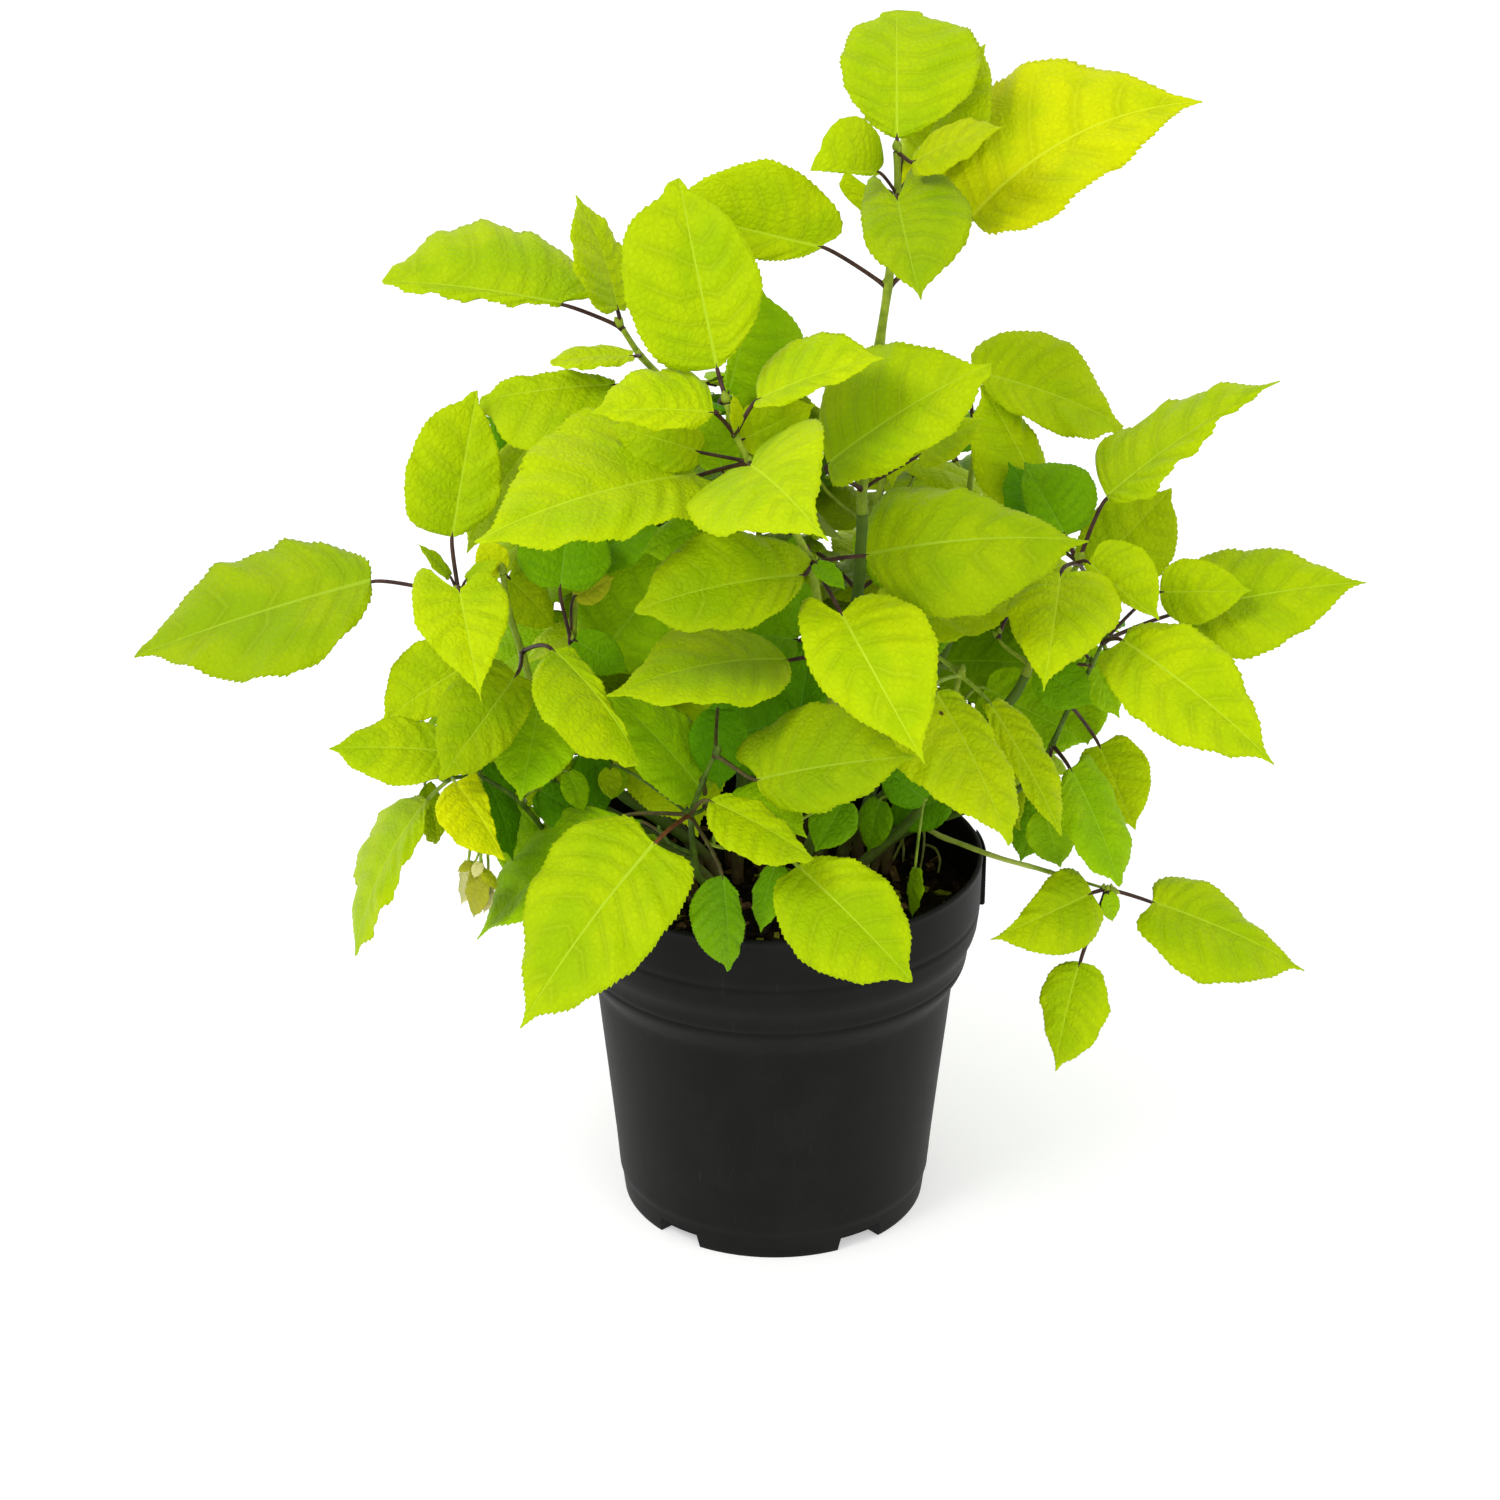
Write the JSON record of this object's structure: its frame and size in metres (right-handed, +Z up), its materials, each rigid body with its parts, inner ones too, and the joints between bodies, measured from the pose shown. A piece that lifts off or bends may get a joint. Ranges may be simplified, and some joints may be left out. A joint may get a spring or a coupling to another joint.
{
  "type": "potted hydrangea shrub",
  "caption": "Potted hydrangea shrub: lime-green toothed leaves on dark petioles and green canes, in soil in a black plastic nursery pot.",
  "frame": {"origin": "centre of the pot's flat underside, on the ground", "axes": "+Z up along the pot's axis, -Y towards the viewer of the picture, +X to the viewer's right"},
  "size_m": [0.6298, 0.4653, 0.6386],
  "materials": {
    "pot_plastic": "satin black",
    "soil": "moist bark mix",
    "cane_wood": "green bark, brown at the foot",
    "foliage": "soft satin leaf"
  },
  "bodies": {
    "root": {"pot": "pot_plastic", "soil": "soil", "woody_crown": "cane_wood", "cane_leader": "cane_wood", "cane_upper_left": "cane_wood", "cane_centre": "cane_wood", "cane_left_outer": "cane_wood", "cane_left_inner": "cane_wood", "cane_left_low": "cane_wood", "cane_left_mid": "cane_wood", "cane_right_upper": "cane_wood", "cane_right_back": "cane_wood", "cane_right_lower": "cane_wood", "cane_right_inner": "cane_wood", "cane_low_sprig": "cane_wood", "cane_front_low": "cane_wood", "cane_front_right": "cane_wood", "cane_back_high_left": "cane_wood", "cane_back_high_right": "cane_wood", "cane_back_left": "cane_wood", "cane_back_centre": "cane_wood", "cane_back_right": "cane_wood", "cane_back_low_left": "cane_wood", "cane_back_low": "cane_wood", "cane_back_low_right": "cane_wood", "shoot_leader": "foliage", "shoot_upper_left": "foliage", "shoot_centre": "foliage", "shoot_left_outer": "foliage", "shoot_left_inner": "foliage", "shoot_left_low": "foliage", "shoot_left_mid": "foliage", "shoot_right_upper": "foliage", "shoot_right_back": "foliage", "shoot_right_lower": "foliage", "shoot_right_inner": "foliage", "shoot_low_sprig": "foliage", "shoot_front_low": "foliage", "shoot_front_right": "foliage", "shoot_back_high_left": "foliage", "shoot_back_high_right": "foliage", "shoot_back_left": "foliage", "shoot_back_centre": "foliage", "shoot_back_right": "foliage", "shoot_back_low_left": "foliage", "shoot_back_low": "foliage", "shoot_back_low_right": "foliage"}
  },
  "joints": []
}
